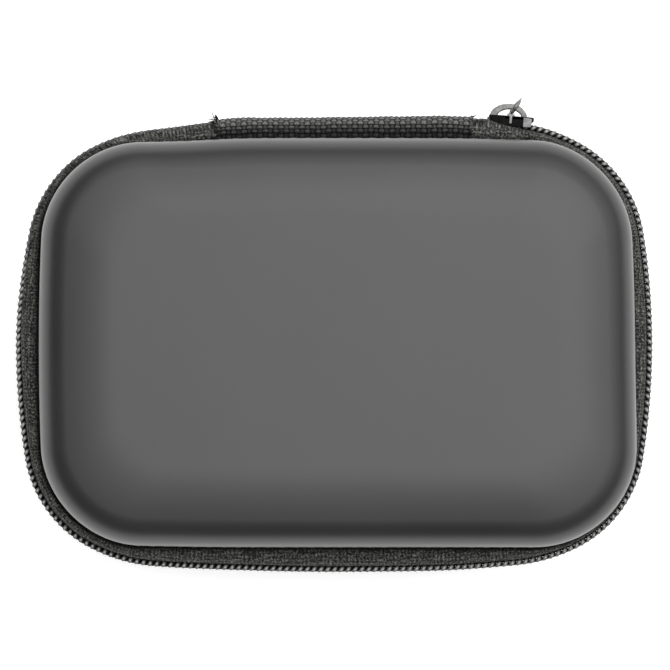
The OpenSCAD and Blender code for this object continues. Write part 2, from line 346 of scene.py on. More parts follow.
def new_material(name, color, roughness, metallic=0.0, specular=0.5, sheen=0.0):
    mat = bpy.data.materials.new(name)
    mat.use_nodes = True
    shader = mat.node_tree.nodes["Principled BSDF"]
    shader.inputs["Base Color"].default_value = (*color, 1)
    shader.inputs["Roughness"].default_value = roughness
    shader.inputs["Metallic"].default_value = metallic
    shader.inputs["Specular IOR Level"].default_value = specular
    shader.inputs["Sheen Weight"].default_value = sheen
    shader.inputs["Sheen Roughness"].default_value = 0.45
    return mat, shader


def feed(shader, socket, value):
    shader.id_data.links.new(value, shader.inputs[socket])


def node(near, kind, inputs=(), **props):
    """A new node beside near, a node or socket of the same tree. Sockets given as inputs are linked."""
    made = near.id_data.nodes.new(kind)
    for key, value in props.items():
        setattr(made, key, value)
    for key, value in dict(inputs).items():
        if isinstance(value, bpy.types.NodeSocket):
            feed(made, key, value)
        else:
            made.inputs[key].default_value = value
    return made


def math_node(operation, a, b=0.0, c=0.0):
    return node(a, "ShaderNodeMath", {0: a, 1: b, 2: c}, operation=operation).outputs[0]


def noise_at(vector, scale, detail=2.0, roughness=0.5):
    inputs = {"Vector": vector, "Scale": scale, "Detail": detail, "Roughness": roughness}
    return node(vector, "ShaderNodeTexNoise", inputs).outputs["Fac"]


def place_of(shader, kind="Object"):
    return node(shader, "ShaderNodeTexCoord").outputs[kind]


def painted_light_of(shader):
    return node(shader, "ShaderNodeAttribute", attribute_name="painted_light").outputs["Fac"]


def ramp(fac, stops):
    """Colours or greys at their places along fac."""
    made = node(fac, "ShaderNodeValToRGB", {"Fac": fac})
    elements = made.color_ramp.elements
    while len(elements) < len(stops):
        elements.new(0.5)
    for element, (place, color) in zip(elements, stops):
        element.position = place
        element.color = (*((color,) * 3 if isinstance(color, float) else color), 1)
    return made.outputs["Color"]


def bump(shader, height, strength, distance_mm):
    inputs = {"Height": height, "Strength": strength, "Distance": distance_mm * MM}
    feed(shader, "Normal", node(shader, "ShaderNodeBump", inputs).outputs[0])


def skin_material():
    mat, shader = new_material("pu_skin", (0.018, 0.018, 0.0185), 0.35, specular=0.55, sheen=0.02)
    at = place_of(shader)
    cells = node(shader, "ShaderNodeTexVoronoi", {"Vector": at, "Scale": 2300.0}, feature="SMOOTH_F1")
    fine = noise_at(at, 5200.0, 3.0)
    grain = math_node("MULTIPLY", cells.outputs["Distance"], 0.6)
    bump(shader, math_node("ADD", grain, math_node("MULTIPLY", fine, 0.5)), 0.22, 0.05)
    stops = [(0.3, (0.0165, 0.0165, 0.0172)), (0.7, (0.0195, 0.0195, 0.0198))]
    feed(shader, "Base Color", ramp(noise_at(at, 38.0, 4.0), stops))
    feed(shader, "Roughness", math_node("MULTIPLY_ADD", fine, 0.10, 0.30))
    return mat


def weave_material(name, dark, light, pitch_u, pitch_v, strength):
    """Woven or knitted cloth: crossing waves in the surface's own (u, v) in mm, with fibre specks."""
    mat, shader = new_material(name, dark, 0.75, specular=0.35, sheen=0.25)
    uv = place_of(shader, "UV")
    parts = node(shader, "ShaderNodeSeparateXYZ", {0: uv})
    turn_u = math_node("MULTIPLY", parts.outputs[0], 2 * math.pi / pitch_u)
    turn_v = math_node("MULTIPLY", parts.outputs[1], 2 * math.pi / pitch_v)
    lean = math_node("SINE", math_node("ADD", turn_u, turn_v))
    cross = math_node("SINE", math_node("SUBTRACT", turn_u, turn_v))
    yarn = math_node("MULTIPLY", lean, cross)
    fibre = noise_at(uv, 3.1 / min(pitch_u, pitch_v), 4.0, 0.65)
    bump(shader, math_node("ADD", math_node("MULTIPLY", yarn, 0.35), fibre), strength, 0.12)
    mix = math_node("ADD", math_node("MULTIPLY", yarn, 0.12), fibre)
    feed(shader, "Base Color", ramp(mix, [(0.42, dark), (0.62, light)]))
    return mat


def coil_material():
    mat, shader = new_material("zip_coil", (0.022, 0.022, 0.021), 0.3)
    painted_light = painted_light_of(shader)
    # Painted highlight and shade: the turns' crests are coloured light, and their lower sides and the hollows
    # between turns near black.
    stops = [(0.04, 0.003), (0.35, 0.035), (0.66, (0.14, 0.14, 0.136)), (0.94, (0.38, 0.38, 0.367))]
    feed(shader, "Base Color", ramp(painted_light, stops))
    feed(shader, "Roughness", ramp(painted_light, [(0.0, 0.9), (0.35, 0.4), (0.9, 0.28)]))
    bump(shader, noise_at(place_of(shader), 6000.0), 0.1, 0.03)
    return mat


def tape_material():
    """Knitted zip tape: rows of short strokes that lean one way, then the other, in (u, v) in mm."""
    mat, shader = new_material("zip_tape", (0.03, 0.03, 0.028), 0.75, specular=0.2)
    uv = place_of(shader, "UV")
    tangle = node(shader, "ShaderNodeTexNoise", {"Vector": uv, "Scale": 1.3, "Detail": 2.0})
    spread = node(shader, "ShaderNodeVectorMath", {0: tangle.outputs["Color"], 3: 1.5}, operation="SCALE")
    shifted = node(shader, "ShaderNodeVectorMath", {0: uv, 1: spread.outputs[0]}, operation="ADD")
    parts = node(shader, "ShaderNodeSeparateXYZ", {0: shifted.outputs[0]})
    v = math_node("DIVIDE", parts.outputs[1], 0.62)
    across = math_node("FRACT", v)
    row = math_node("FLOORED_MODULO", math_node("FLOOR", v), 2.0)
    slant = math_node("MULTIPLY", math_node("SUBTRACT", across, 0.5), math_node("SUBTRACT", row, 0.5))
    turn = math_node("ADD", math_node("DIVIDE", parts.outputs[0], 0.8), slant)
    loops = math_node("SINE", math_node("MULTIPLY", turn, 2 * math.pi))
    arch = math_node("SINE", math_node("MULTIPLY", across, math.pi))
    drawn = node(shader, "ShaderNodeMapping", {"Vector": uv, "Scale": (0.12, 1.0, 1.0)}).outputs[0]
    streak = math_node("MULTIPLY", math_node("SUBTRACT", noise_at(drawn, 2.0, 1.0), 0.5), 0.45)
    fibre = math_node("ADD", noise_at(uv, 1.9, 2.0, 0.7), streak)
    height = math_node("ADD", math_node("MULTIPLY", math_node("MULTIPLY", loops, arch), 0.12), fibre)
    bump(shader, height, 0.8, 0.22)
    stops = [(0.36, (0.011, 0.011, 0.0105)), (0.54, (0.047, 0.047, 0.044)), (0.77, (0.2, 0.2, 0.185))]
    # Painted shade: the knit's colour is multiplied down towards near black in the groove along the shell's
    # wall.
    depth = ramp(painted_light_of(shader), [(0.0, 0.04), (0.5, 0.35), (1.0, 1.0)])
    inputs = {0: 1.0, 6: ramp(height, stops), 7: depth}
    shaded = node(shader, "ShaderNodeMix", inputs, data_type="RGBA", blend_type="MULTIPLY")
    feed(shader, "Base Color", shaded.outputs[2])
    feed(shader, "Roughness", ramp(height, [(0.42, 1.0), (0.65, 0.55)]))
    return mat


def webbing_material():
    mat, shader = new_material("webbing", (0.03, 0.03, 0.03), 0.5, specular=0.2)
    painted_light = painted_light_of(shader)
    fibre = noise_at(place_of(shader), 2600.0, 3.0, 0.6)
    # The base colour follows the painted light and shade of the weave: near black in the gaps between the
    # yarns and towards the shells, light on the floats.
    mix = math_node("ADD", math_node("MULTIPLY", painted_light, 0.8), math_node("MULTIPLY", fibre, 0.5))
    stops = [(0.38, 0.001), (0.58, (0.024, 0.024, 0.0235)), (0.78, (0.07, 0.07, 0.068))]
    feed(shader, "Base Color", ramp(mix, stops + [(1.0, (0.15, 0.15, 0.145))]))
    feed(shader, "Roughness", ramp(painted_light, [(0.2, 1.0), (0.9, 0.5)]))
    bump(shader, fibre, 0.5, 0.08)
    return mat


def fibre_material(name, dark, light):
    """Yarn or thread: specks along fine fibres."""
    mat, shader = new_material(name, dark, 0.6, specular=0.45, sheen=0.2)
    fibre = noise_at(place_of(shader), 4000.0, 4.0, 0.7)
    feed(shader, "Base Color", ramp(fibre, [(0.36, dark), (0.68, light)]))
    bump(shader, fibre, 0.55, 0.06)
    return mat


def foam_material():
    mat, shader = new_material("eva_foam", (0.02, 0.02, 0.021), 0.85)
    inputs = {"Vector": place_of(shader), "Scale": 3500.0}
    cells = node(shader, "ShaderNodeTexVoronoi", inputs).outputs["Distance"]
    bump(shader, cells, 0.5, 0.08)
    feed(shader, "Base Color", ramp(cells, [(0.0, 0.012), (0.7, 0.03)]))
    return mat


def metal_material(name, color, worn, roughness, metallic, specular=0.5):
    """Lacquered die-casting: fine casting ripple, and lighter worn patches."""
    mat, shader = new_material(name, color, roughness, metallic, specular)
    at = place_of(shader)
    ripple = noise_at(at, 900.0, 3.0)
    feed(shader, "Base Color", ramp(ripple, [(0.35, color), (0.75, worn)]))
    stops = [(0.3, roughness - 0.1), (0.7, roughness + 0.14)]
    feed(shader, "Roughness", ramp(noise_at(at, 2600.0), stops))
    bump(shader, ripple, 0.18, 0.05)
    return mat


MAT = {
    "pu_skin": skin_material(),
    "eva_foam": foam_material(),
    "lining_fabric": weave_material("lining_fabric", (0.012, 0.012, 0.014), (0.04, 0.04, 0.044),
                                    0.9, 0.7, 0.5),
    "zip_tape": tape_material(),
    "zip_coil": coil_material(),
    "binding": weave_material("binding", (0.013, 0.013, 0.014), (0.05, 0.05, 0.052), 0.5, 0.9, 0.6),
    "thread": fibre_material("thread", (0.03, 0.03, 0.031), (0.12, 0.12, 0.12)),
    "webbing": webbing_material(),
    "elastic": weave_material("elastic", (0.014, 0.014, 0.016), (0.05, 0.05, 0.055), 0.45, 1.1, 0.5),
    "mesh": fibre_material("mesh", (0.012, 0.012, 0.013), (0.05, 0.05, 0.052)),
    "slider_metal": metal_material("slider_metal", (0.13, 0.13, 0.13), (0.24, 0.24, 0.235), 0.4, 0.3),
    "slider_dark": metal_material("slider_dark", (0.001, 0.001, 0.001), (0.006, 0.006, 0.006),
                                  0.45, 0.0, 0.05),
    "pull_metal": metal_material("pull_metal", (0.12, 0.12, 0.12), (0.26, 0.26, 0.255), 0.4, 0.3),
}


def dress(obj, material, body, replaces=()):
    """Gives obj its material and slot, the body it rides on and the CAD nodes it stands for."""
    obj.data.materials.append(MAT[material])
    if replaces:
        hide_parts(*replaces)
    if body:
        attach(obj, body)
    return obj


# -------- shells

def shell_rings(inset, shift=0.0, lip=None):
    """Rings of a half shell, open end first: points in plan and their distance from the outer face's level.
    The wall runs into an edge of radius EDGE_R, and that into a crown that flattens over CROWN_REACH."""
    rim_h = SEAM - RIM
    edge = EDGE_R - inset
    top = inset + CROWN
    rings = []
    if lip is not None:
        rings += [(inset + lip, rim_h - 0.62), (inset + lip, rim_h - 0.12), (inset + lip - 0.12, rim_h)]
        rings += [(inset + 0.35, rim_h), (inset + 0.1, rim_h - 0.1)]
        rim_h -= 0.35
    rings += [(inset, h) for h in np.linspace(rim_h, top + edge, 7)]
    for a in np.linspace(0, EDGE_SWEEP, 30)[1:]:
        rings.append((inset + edge * (1 - math.cos(a)), top + edge * (1 - math.sin(a))))
    d0, h0 = rings[-1]
    reach = SHELL[1] / 2 - d0
    for x in np.linspace(0, 0.998 * reach, 30)[1:]:
        rings.append((d0 + x, inset + (h0 - inset) * max(1 - x / CROWN_REACH, 0) ** 2))
    out = []
    for d, h in rings:
        shrink = np.clip((d - d0) / reach, 0, 1)
        r = (CORNER_R - min(d, d0)) * (1 - shrink)
        flat = Outline(*shell_quarter(d, r, steps=26)).p[:-1]
        out.append(np.column_stack([settle_shell(flat) + shift, np.full(len(flat), h)]))
    return out


def stacked(rings, upper):
    """The rings' points, turned over for the lid."""
    verts = np.concatenate(rings)
    if upper:
        verts[:, 2] = CASE_H - verts[:, 2]
    return verts


def shell_mesh(name, rings, upper, flip):
    rows, cols = len(rings), len(rings[0])
    last = [(rows - 1) * cols + k for k in range(cols)]
    faces = [list(f) for f in grid_faces(rows, cols, False, True, flip ^ upper)]
    faces.append(last[::-1] if flip ^ upper else last)
    along = np.arange(cols) * (2 * (SHELL.sum() - 30) / cols)
    steps = [np.linalg.norm(a[0] - b[0]) for a, b in zip(rings, rings[1:])]
    depth = np.concatenate([[0], np.cumsum(steps)])
    return mesh_object(name, stacked(rings, upper), faces, pairs(depth, along)[:, ::-1])


def make_shell(half, upper):
    shift = LID_SHIFT if upper else 0.0
    skin = shell_mesh(f"{half}_skin_shell", shell_rings(0.0, shift, LIP), upper, True)
    dress(skin, "pu_skin", half, [f"{half}_skin"])
    lining = shell_mesh(f"{half}_lining_knit", shell_rings(WALL), upper, False)
    dress(lining, "lining_fabric", half, [f"{half}_lining"])
    make_foam(half, upper, shift)
    return lining


def make_foam(half, upper, shift):
    """The foam core fills the space between skin and lining and closes at the rim."""
    rings = shell_rings(SKIN_T, shift)[::-1] + shell_rings(WALL - LINING_T)
    rows, cols = len(rings), len(rings[0])
    faces = [list(f) for f in grid_faces(rows, cols, False, True, not upper)]
    faces += [list(range(cols)), [(rows - 1) * cols + k for k in range(cols)]]
    foam = mesh_object(f"{half}_foam_core", stacked(rings, upper), faces)
    dress(foam, "eva_foam", half, [f"{half}_foam"])


# -------- zip tape, coil and webbing

def section_points(stations, section, sign, reach=0.0):
    """Section rows are (ref, outwards, height). ref 0 is the shell's wall and ref 1 the coil's inner side.
    reach moves the middle of the rows marked by ref over 1, a flap that can cover the coil, outwards."""
    b, _ = BAND.at(stations)
    a = foot(b)
    gap = np.linalg.norm(b - a, axis=1)
    d = (b - a) / gap[:, None]
    section = np.asarray(section, float)
    ref, off, h = section[:, 0], section[:, 1], section[:, 2]
    strip = np.maximum(gap - COIL_W, 0.45)[:, None]
    out = strip * np.minimum(ref, 1)[None, :] + off[None, :] + np.reshape(reach, (-1, 1)) * (ref > 1)[None, :]
    flat = a[:, None] + d[:, None] * out[..., None]
    z = np.broadcast_to(SEAM + sign * h[None, :], flat.shape[:2])
    return np.concatenate([flat, z[..., None]], -1)


TAPE_LINE = [
    (1, -0.2, 0.12), (1, -0.2, 1.4), (1, -0.2, 2.9), (1.01, -0.38, 3.7), (1.01, -0.6, 4.5), (0.72, -0.2, 5.3),
    (0.42, 0, 5.55), (0.2, 0, 5.0), (0.05, 0.1, 4.6), (0, -0.7, 5.1), (0, -2.0, 6.1), (0, -3.5, 6.3),
    (0, -4.3, 6.9), (0, -4.4, 9.3)]
WEB_LINE = [
    (1, 0.75, 0.0), (1, 0.68, 1.3), (1, 0.3, 2.8), (1, -0.5, 4.3), (0.45, 0, 5.35), (0.12, 0, 5.3),
    (0, -0.5, 5.4), (0, -2.0, 6.0), (0, -3.4, 6.2), (0, -4.5, 6.7), (0, -4.72, 9.3)]


def flap_reach(s):
    """How far the tape lies over the coil: most at the back left corner, some beside the slider."""
    p, _ = BAND.at(s)
    return 1.05 * np.clip(1.7 * polar_share(p, 139, 27), 0, 1) + 1.5 * polar_share(p, 56.5, 4.2)


def sheet_normals(grid):
    du = np.gradient(grid, axis=0)
    dv = np.gradient(grid, axis=1)
    n = np.cross(du, dv)
    return n / np.linalg.norm(n, axis=-1, keepdims=True)


def arc_lengths(grid):
    steps = np.linalg.norm(np.diff(grid[len(grid) // 2], axis=0), axis=1)
    return np.concatenate([[0], np.cumsum(steps)])


def resample(grid, v, step):
    """The grid's columns respaced evenly, step apart along each row."""
    want = np.arange(0, v[-1], step)
    k = np.clip(np.searchsorted(v, want) - 1, 0, len(v) - 2)
    t = ((want - v[k]) / (v[k + 1] - v[k]))[None, :, None]
    return grid[:, k] * (1 - t) + grid[:, k + 1] * t, want


def two_sided(grid, normals, front, back, u, v):
    """A closed cloth: a front face displaced by front and a back face displaced by back, in mm."""
    rows, cols = grid.shape[:2]
    a = grid + normals * front[..., None]
    b = grid - normals * back[..., None]
    verts = np.concatenate([a.reshape(-1, 3), b.reshape(-1, 3)])
    faces = [list(f) for f in grid_faces(rows, cols)]
    count = rows * cols
    faces += [list(f) for f in grid_faces(rows, cols, flip=True) + count]
    ids = list(range(cols)) + [i * cols + cols - 1 for i in range(1, rows)]
    ids += list(range(count - 2, count - cols - 1, -1)) + [i * cols for i in range(rows - 2, 0, -1)]
    faces += [[p, p + count, q + count, q] for p, q in zip(ids, ids[1:] + ids[:1])]
    uv = pairs(u, v)
    return verts, faces, np.concatenate([uv, uv + [0, 40]])


def hang_zip(obj, kind, half):
    """The base's half rides on the base. The lid's half is left without a body, its transform baked into its
    points.
    """
    if half == "base":
        dress(obj, kind, half, [f"base_{kind}"])
        return
    dress(obj, kind, None, [f"lid_{kind}", f"lid_{kind}_end"])
    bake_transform(obj)


def zip_span():
    """First and last station of the zip; both ends run on a little under the webbing."""
    under = 1.6
    return s_at_x(WEB_END) - under, s_at_x(WEB_X0) + under


def make_tape(half, sign):
    s0, s1 = zip_span()
    s = np.arange(s0, s1, TAPE_STEP)
    grid = section_points(s, spline(TAPE_LINE), sign, flap_reach(s) if sign > 0 else 0.0)
    grid, v = resample(grid, arc_lengths(grid), TAPE_STEP)
    normals = sheet_normals(grid)
    outward = np.sign(np.sum(normals[:, 3, :2] * BAND.at(s)[1], axis=1).mean())
    normals *= outward
    bulge = np.exp(-((v - 6.0) / 2.2) ** 2)[None, :]
    ripple = 0.13 * wave(s / 3.1 + sign)[:, None] + 0.08 * wave(s[:, None] / 1.1 + v[None, :] / 0.9)
    grid = grid + normals * (ripple * bulge)[..., None]
    fuzz = 0.03 * rng.standard_normal((len(s), len(v)))
    from_wall = np.linalg.norm(grid[..., :2] - foot(BAND.at(s)[0])[:, None], axis=-1)
    # Painted shade: 0 at the shell's wall, rising to 1 away from it, which darkens the tape's colour in the
    # groove.
    groove_shade = np.clip((from_wall - 0.45) / 0.65, 0, 1)
    verts, faces, uv = two_sided(grid, normals, TAPE_FRONT + fuzz, TAPE_BACK + 0 * fuzz, s, v)
    if outward * sign < 0:
        faces = [f[::-1] for f in faces]
    tape = mesh_object(f"{half}_zip_tape_weave", verts, faces, uv)
    add_painted_light(tape, np.concatenate([groove_shade.ravel()] * 2))
    hang_zip(tape, "zip_tape", half)


def coil_path(s0, s1, sign):
    """Centre line of one half of the coil: a flattened helix whose heads cross the seam."""
    steps = 16
    t = np.arange(int((s1 - s0) / COIL_PITCH) * steps + 1) / steps
    c, si = np.cos(2 * np.pi * t), np.sin(2 * np.pi * t)
    z = COIL_MIDDLE_H + COIL_HALF_H * np.sign(c) * np.abs(c) ** 0.7
    n = COIL_MIDDLE + COIL_HALF_W * np.sign(si) * np.abs(si) ** 0.85
    s = s0 + COIL_PITCH * t
    roll = 0.4 - 2.7 * polar_share(BAND.at(s)[0], 180, 42)
    p, out = BAND.at(s + roll * (n - COIL_MIDDLE))
    radius = WIRE_R + 0.06 * c
    return s, np.column_stack([p + out * n[:, None], SEAM + sign * z]), radius, 2 * np.pi * t


def make_coil(half, sign):
    s0, s1 = zip_span()
    s, path, radius, turn = coil_path(s0 + (0 if sign > 0 else COIL_PITCH / 2), s1, sign)
    sides = 9
    bag = Bag()
    bag.add(*tube(path, radius, sides))
    lift = (bag.v[0][:, 2].reshape(-1, sides) - path[:, 2:]) * sign / radius[:, None]
    # Painted highlight: how far each point of a turn faces up at its crest, which the material colours
    # lighter.
    crest_highlight = np.clip(lift, 0, 1) * np.clip(np.cos(turn), 0, 1)[:, None] ** 0.3
    row = np.arange(s0 + 0.5, s1 - 0.5, COIL_PITCH / 6)
    p, out = BAND.at(row)
    n = -0.3 + 0.06 * np.cos(2 * np.pi * row / COIL_PITCH)
    h = sign * (1.45 + 0.16 * np.sin(np.pi * row / COIL_PITCH))
    bag.add(*tube(np.column_stack([p + out * n[:, None], SEAM + h]), 0.13))
    coil = bag.object(f"{half}_zip_coil_turns")
    add_painted_light(coil, np.concatenate([crest_highlight.ravel(), np.full(len(bag.v[1]), 0.3)]))
    hang_zip(coil, "zip_coil", half)


def basket(u, v):
    """Height of the hinge webbing's weave in mm, and how light each place is: painted light on the raised
    floats, painted black shade in the gaps between the yarns.
    """
    warp_w, weft_w = 0.88, 1.16
    row = np.floor(v / warp_w)
    from_warp = np.abs(2 * (v / warp_w - row) - 1)
    from_weft = np.abs(2 * np.mod(u / weft_w + 0.5, 1.0) - 1)
    float_on = np.cos(np.pi * (u / weft_w + row))
    warp = 0.17 * float_on + 0.26 * np.sqrt(np.clip(1 - from_warp**2, 0, 1))
    weft = -0.14 * float_on + 0.16 * np.sqrt(np.clip(1 - from_weft**2, 0, 1))
    twist = 0.02 * np.sin(2 * np.pi * (u / 0.36 + v / 0.3))
    warp_cover = np.clip((0.86 - from_warp) / 0.3, 0, 1)
    weft_cover = np.clip((0.8 - from_weft) / 0.3, 0, 1) * np.clip((1.1 - from_warp) / 0.3, 0, 1)
    light_warp = warp_cover * np.clip(0.62 + 0.75 * float_on, 0, 1)
    return np.maximum(warp, weft) + twist, np.maximum(light_warp, 0.72 * weft_cover * (float_on < 0.1))


def make_webbing():
    upper = spline(WEB_LINE)
    line = np.concatenate([upper[:0:-1] * (1, 1, -1), upper])
    x = np.arange(WEB_X0 - 0.3, WEB_END, WEB_STEP)
    s = s_at_x(WEB_X1) - WEB_X1 + x
    grid = section_points(s, line, 1)
    grid, v = resample(grid, arc_lengths(grid), WEB_STEP)
    normals = sheet_normals(grid)
    normals *= np.sign(normals[:, len(v) // 2, 1].mean())
    left = x - x[0]
    ends = np.minimum(left, x[-1] - x)
    ragged = np.exp(-ends / 1.2) * np.where(x < 0, 1, -1)
    grid[..., 0] += 0.3 * wave(v * 2.3)[None, :] * ragged[:, None]
    lie = 0.09 * wave(x / 4.0) + 0.5 * np.exp(-((left / 9) ** 2)) + 0.5 * ease((x - 2) / 28)
    off = v - v.mean()
    sway_u, sway_v = 0.14 * wave(v / 2.0)[None, :], 0.12 * wave(x / 3)[:, None]
    front, shade = basket(x[:, None] + sway_u, off[None, :] + sway_v)
    grid = grid + normals * (lie[:, None] * np.exp(-((off / 8.5) ** 4))[None, :])[..., None]
    bag = Bag()
    bag.add(*two_sided(grid, normals, 0.2 + front, 0.3 + 0 * front, x, v))
    # Painted shade: the weave is coloured darker towards its long edges, where it runs in under the shells,
    # and its back face darker again.
    light = (shade * (0.4 + 0.6 * np.exp(-((off / 6.0) ** 6)))[None, :]).ravel()
    painted_light = [light, light * 0.6]
    t = np.linspace(0, 1, 5)[:, None]
    for end, way in ((0, -1), (len(x) - 1, 1)):
        for _ in range(90 if way < 0 else 60):
            j = int(rng.uniform(0.2, 0.8) * len(v))
            start = grid[end - way * 3, j] + normals[end, j] * rng.uniform(-0.1, 0.5)
            length = rng.uniform(0.7, 1.7) if way < 0 else rng.uniform(0.4, 1.0)
            lean = (way * 0.8, 0, 0) + normals[end, j] * rng.uniform(-0.2, 0.9)
            lean = lean + rng.normal(0, 0.25, 3)
            curl = rng.normal(0, 0.3, 3)
            bag.add(*tube(start + length * (t * lean + t * t * curl), 0.085, 5))
            painted_light.append(np.full(len(bag.v[-1]), rng.uniform(0.05, 0.5)))
    webbing = bag.object("hinge_webbing_weave")
    add_painted_light(webbing, np.concatenate(painted_light))
    dress(webbing, "webbing", None, ["hinge_webbing"])
    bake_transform(webbing)


# -------- binding and stitches

def rim_points(inset, spacing):
    line = Outline(*shell_quarter(inset, CORNER_R - inset, steps=60))
    s = np.arange(0, line.length, spacing)
    p, n = line.at(s)
    return s, settle_shell(p), n


def make_binding(half, sign):
    s, p, n = rim_points(BINDING_INSET, 0.6)
    rows = []
    profile = [(0.0, 6.45), (-0.55, 6.35), (-0.62, 7.2), (-0.6, 9.0), (-0.55, 10.1), (0.0, 10.15)]
    for k, (d, h) in enumerate(spline(profile, 4)):
        out = d + 0.06 * wave(s / 5.0 + k * 0.2) + 0.03 * np.sin(2 * np.pi * s / 1.2)
        z = SEAM + sign * (h + 0.08 * wave(s / 9 + sign))
        rows.append(np.column_stack([p + n * out[:, None], z]))
    faces = grid_faces(len(rows), len(s), True, True, flip=sign > 0)
    uv = pairs(np.arange(len(rows)) * 0.35, s)[:, ::-1]
    tape = mesh_object(f"{half}_binding_tape", np.concatenate(rows), faces, uv)
    return dress(tape, "binding", half, [f"{half}_tape_binding"])


def stitch_row(bag, p, n, s, z):
    """Separate stitches along a line: each a short thread that dives into the cloth at both ends."""
    lift = 0.24 * np.sin(np.linspace(0, np.pi, 6)) - 0.12
    slant = np.linspace(-0.12, 0.12, 6)
    for k in range(int(s[-1] / STITCH_PITCH)):
        at = np.linspace(k * STITCH_PITCH, k * STITCH_PITCH + STITCH_LENGTH, 6)
        q = np.stack([np.interp(at, s, p[:, i]) for i in (0, 1)], -1)
        m = np.stack([np.interp(at, s, n[:, i]) for i in (0, 1)], -1)
        bag.add(*tube(np.column_stack([q + m * lift[:, None], z + slant]), 0.19))


def make_stitches(half, sign):
    bag = Bag()
    s, p, n = rim_points(0.0, 1.0)
    if half == "lid":
        p = p + LID_SHIFT
    stitch_row(bag, p + n * 0.02, n, s, SEAM + sign * 9.2)
    s, p, n = rim_points(BINDING_INSET + 0.62, 1.0)
    stitch_row(bag, p, -n, s, SEAM + sign * 8.9)
    dress(bag.object(f"{half}_seam_stitches"), "thread", half, [f"{half}_seam_thread"])


# -------- inside: strap and pocket

def ribbed(x, half_w, rib, pitch):
    """Height of a ribbed band's long ribs, and how it thins towards its two edges."""
    return rib * np.abs(np.sin(np.pi * x / pitch)), np.clip((half_w - np.abs(x)) / 0.5, 0, 1) ** 0.5


def make_strap():
    low, high = box_mm("elastic_strap")
    half_w, y0, y1, top = high[0], low[1], high[1], high[2]
    foot_z = low[2] + 0.1
    line = spline([(y0 + 0.6, foot_z), (y0 + 0.6, top - 3.0), (y0 + 1.3, top - 1.0), (y0 + 6, top - 0.55),
                   (0, top - 1.5),
                   (y1 - 6, top - 0.55), (y1 - 1.3, top - 1.0), (y1 - 0.6, top - 3.0), (y1 - 0.6, foot_z)], 10)
    x = np.linspace(-half_w, half_w, 90)
    grid = np.stack(np.broadcast_arrays(x[:, None], line[None, :, 0], line[None, :, 1]), -1)
    grid, v = resample(grid, arc_lengths(grid), 0.4)
    normals = sheet_normals(grid)
    normals *= np.sign(normals[len(x) // 2, len(v) // 2, 2])
    ribs, edge = ribbed(x, half_w, 0.10, 1.55)
    height = (0.28 + ribs[:, None] + 0.03 * np.cos(2 * np.pi * v / 0.9)[None, :]) * edge[:, None]
    verts, faces, uv = two_sided(grid, normals, height, height, x, v)
    strap = mesh_object("elastic_strap_rib", verts, faces, uv)
    dress(strap, "elastic", "base", ["elastic_strap"])
    bag = Bag()
    turns = 23
    zs = np.linspace(low[2] + 0.6, top - 2.4, turns)
    zig = np.where(np.arange(turns) % 2 == 0, -0.8, 0.8)
    for y in (-y1 + 1.32, y1 - 1.32):
        for x0 in (-half_w + 1.5, half_w - 1.5):
            bag.add(*tube(np.column_stack([x0 + zig, np.full(turns, y), zs]), 0.16))
    tacks = dress(bag.object("strap_bar_tacks"), "thread", "base", ["strap_anchors"])


def make_pocket():
    low, high = box_mm("mesh_pocket")
    hem_low, hem_high = box_mm("mesh_pocket_binding")
    half_x = high[0] - 0.3
    y0, y1 = low[1], high[1] - 0.3
    z = (low[2] + high[2]) / 2
    r = CORNER_R - 4.9

    def inside(x, y):
        dx = np.maximum(np.abs(x) - (half_x - r), 0)
        dy = np.maximum(y - (y1 - r), 0)
        return dx * dx + dy * dy <= r * r

    def sag(x, y):
        return z - 0.9 * np.cos(np.pi / 2 * x / half_x) * np.cos(np.pi / 2 * (y - y0) / (y1 - y0)) ** 0.7

    bag = Bag()
    cell = 1.9
    rise = cell / 2
    for k in range(int((y1 - y0) / rise) + 1):
        x = np.arange(-half_x, half_x, cell / 4)
        y = y0 + k * rise + 0.42 * rise * np.cos(2 * np.pi * x / cell + np.pi * (k % 2))
        keep = np.flatnonzero(inside(x, y) & (y > y0 - 0.2))
        if len(keep) < 4:
            continue
        run = slice(keep[0], keep[-1] + 1)
        x, y = x[run], y[run]
        bag.add(*tube(np.column_stack([x, y, sag(x, y) + 0.05 * np.cos(2 * np.pi * x / cell)]), 0.2, 5))
    net = bag.object("mesh_pocket_net")
    dress(net, "mesh", "lid", ["mesh_pocket"])
    hem_x = np.linspace(-half_x - 0.1, half_x + 0.1, 420)
    half_hem = (hem_high[1] - hem_low[1]) / 2 - 0.2
    across = np.linspace(-half_hem, half_hem, 26)
    hem_y = (hem_low[1] + hem_high[1]) / 2 + across[None, :] + 0.25 * wave(hem_x / 6)[:, None]
    grid = np.stack(np.broadcast_arrays(hem_x[:, None], hem_y, sag(hem_x, y0)[:, None]), -1)
    ribs, edge = ribbed(across, half_hem, 0.09, 1.3)
    height = (0.34 + ribs[None, :] + 0.03 * np.cos(2 * np.pi * hem_x / 1.1)[:, None]) * edge[None, :]
    verts, faces, uv = two_sided(grid, np.broadcast_to(UP, grid.shape), height, height, hem_x, across)
    hem = mesh_object("mesh_pocket_hem", verts, faces, uv)
    dress(hem, "elastic", "lid", ["mesh_pocket_binding"])


# -------- slider and pull

def slider_axes():
    """Origin near the band's outline and the slider's own axes: along the zip, and outwards."""
    p, n = BAND.at(np.array([s_at_x(SLIDER_X)]))
    out = np.array([n[0, 0], n[0, 1], 0])
    along = np.array([n[0, 1], -n[0, 0], 0])
    return np.array([p[0, 0], p[0, 1], SEAM]) - 0.2 * out, along, out


SLIDER_AT, ALONG, OUT = slider_axes()


def move_points(mesh, change):
    """Passes the mesh's points through change."""
    at = np.zeros(len(mesh.vertices) * 3)
    mesh.vertices.foreach_get("co", at)
    mesh.vertices.foreach_set("co", change(at.reshape(-1, 3)).ravel())
    mesh.update()


